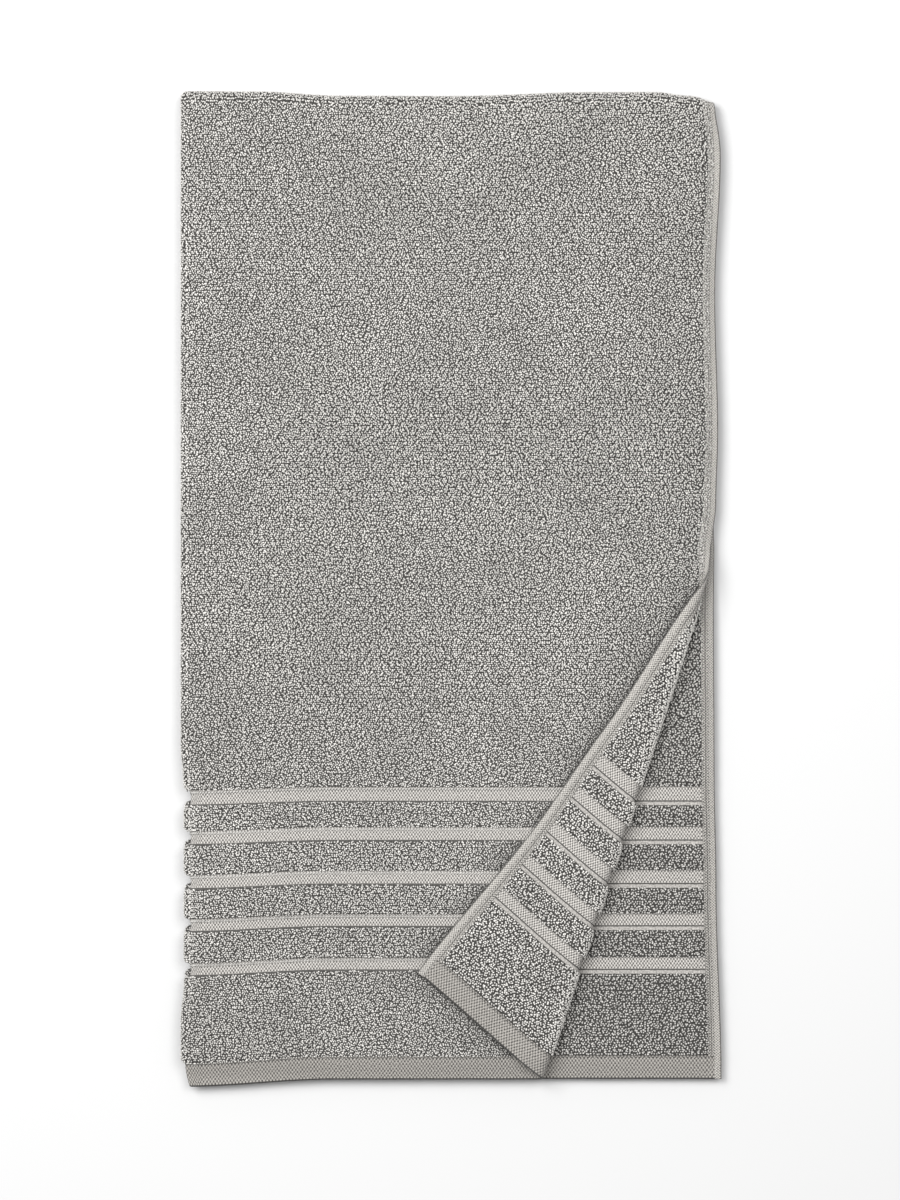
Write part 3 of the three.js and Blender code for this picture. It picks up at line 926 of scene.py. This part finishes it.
thread, tree, shader = cotton("hem_thread", sheen=0.05)
shader.inputs["Base Color"].default_value = (*THREAD_COLOUR, 1)
side_row = np.arange(0.0015, TOWEL_LENGTH - 0.001, STITCH_PITCH) - HALF_LENGTH
end_row = np.arange(SIDE_HEM, TOWEL_WIDTH - SIDE_HEM, STITCH_PITCH) - HALF_WIDTH
stitches = [[], [], [], []]
for face in [1, -1]:
    for side in [1, -1]:
        runs = []
        for row in SIDE_ROWS:
            runs.append((np.full(side_row.size, side * (HALF_WIDTH - row)), side_row, math.pi / 2))
        runs.append((end_row, np.full(end_row.size, side * (HALF_LENGTH - END_ROW)), 0.0))
        for across, down, turn in runs:
            angle = np.full(across.size, turn)
            places, outward, facing, along = leaning(across, down, face, angle, 0, None)
            places = places + outward * STITCH_SIZE[2] * 0.1
            for kept, values in zip(stitches, [places, facing, along, np.ones(across.size)]):
                kept.append(values)
choices = {"Strand Size": STITCH_SIZE, "Bend": 0.0, "Unevenness": 0.12, "Rings": 2, "Seed": 19}
choices["Material"] = thread
hem_stitches = lay_strands("hem_stitches", *(np.concatenate(kept) for kept in stitches), choices)


# Floor, light and camera
# A pale plain table under soft light from the upper left, seen from straight above.

FLOOR_GREY = 0.60
FLOOR_SIZE = 4
FLOOR_DROP = 0.0002
WORLD_LIGHT = 0.38

floor_material = bpy.data.materials.new("studio_floor")
floor_material.use_nodes = True
floor_shader = floor_material.node_tree.nodes["Principled BSDF"]
floor_shader.inputs["Base Color"].default_value = (FLOOR_GREY, FLOOR_GREY, FLOOR_GREY, 1)
floor_shader.inputs["Roughness"].default_value = 0.9
floor_mesh = bpy.data.meshes.new("studio_floor")
floor_corners = [(x * FLOOR_SIZE, y * FLOOR_SIZE, 0) for x, y in [(-1, -1), (1, -1), (1, 1), (-1, 1)]]
floor_mesh.from_pydata(floor_corners, [], [(0, 1, 2, 3)])
floor_mesh.materials.append(floor_material)
floor = bpy.data.objects.new("studio_floor", floor_mesh)
floor.location.z = -FLOOR_DROP
bpy.context.scene.collection.objects.link(floor)


def soft_light(name, size, power, place):
    """A square lamp that points at the middle of the towel."""
    data = bpy.data.lights.new(name, "AREA")
    data.shape = "SQUARE"
    data.size = size
    data.energy = power
    light = bpy.data.objects.new(name, data)
    light.location = place
    light.rotation_euler = (-light.location).to_track_quat("-Z", "Y").to_euler()
    bpy.context.scene.collection.objects.link(light)


soft_light("key_light", size=1.6, power=88, place=(-1.1, 0.7, 2.4))
soft_light("fill_light", size=1.2, power=32, place=(0.7, 0.5, 2.4))

world = bpy.data.worlds.new("studio")
world.use_nodes = True
world.node_tree.nodes["Background"].inputs["Color"].default_value = (1, 1, 1, 1)
world.node_tree.nodes["Background"].inputs["Strength"].default_value = WORLD_LIGHT
bpy.context.scene.world = world
bpy.context.scene.view_settings.view_transform = "Standard"

# The camera hangs level over the towel, and its height is measured from the top layer
CAMERA_HEIGHT = 2.6
CAMERA_OVER = (-0.0019, -0.0073)
TOP_LAYER_HEIGHT = 0.016
FRAME_LENGTH = 0.8563
camera_data = bpy.data.cameras.new("camera")
camera_data.sensor_width = 36
camera_data.lens = 36 * CAMERA_HEIGHT / FRAME_LENGTH
camera = bpy.data.objects.new("camera", camera_data)
camera.location = (*CAMERA_OVER, CAMERA_HEIGHT + TOP_LAYER_HEIGHT)
bpy.context.scene.collection.objects.link(camera)
bpy.context.scene.camera = camera
